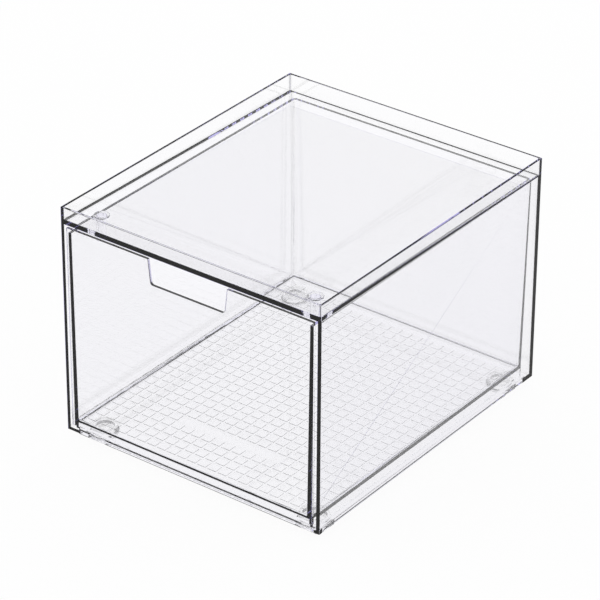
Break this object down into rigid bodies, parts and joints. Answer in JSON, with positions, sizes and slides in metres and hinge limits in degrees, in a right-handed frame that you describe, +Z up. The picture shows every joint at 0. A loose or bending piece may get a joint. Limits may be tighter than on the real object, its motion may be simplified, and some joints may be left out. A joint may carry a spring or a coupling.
{
  "type": "stackable drawer box",
  "caption": "Clear stackable storage box: an open-fronted case with a nesting rim and a stepped base, and a deep drawer that slides out of its front up to stop pins.",
  "frame": {"origin": "on the surface that the feet stand on, below the middle of the shut box's outline (the drawer front included)", "axes": "+X to the right seen from the front, +Y from the front to the rear, +Z up; the drawer's front faces -Y"},
  "size_m": [0.3, 0.3528, 0.2502],
  "materials": {
    "clear_case": "clear, polished moulding",
    "clear_drawer": "clear, polished moulding",
    "clear_pin": "clear, polished turned or moulded pin",
    "clear_foot": "clear, soft moulding"
  },
  "bodies": {
    "case": {"case": "clear_case", "foot_front_left": "clear_foot", "foot_front_right": "clear_foot", "foot_rear_left": "clear_foot", "foot_rear_right": "clear_foot"},
    "drawer": {"drawer": "clear_drawer"},
    "stop_pin_left": {"stop_pin_left": "clear_pin"},
    "stop_pin_right": {"stop_pin_right": "clear_pin"}
  },
  "joints": [
    {"name": "drawer_slide", "type": "slide", "parent": "case", "child": "drawer", "axis": [0, -1, 0], "range_m": [0, 0.3108]},
    {"name": "pin_left_lift", "type": "slide", "parent": "case", "child": "stop_pin_left", "axis": [0, 0, 1], "range_m": [0, 0.045]},
    {"name": "pin_right_lift", "type": "slide", "parent": "case", "child": "stop_pin_right", "axis": [0, 0, 1], "range_m": [0, 0.045]}
  ]
}
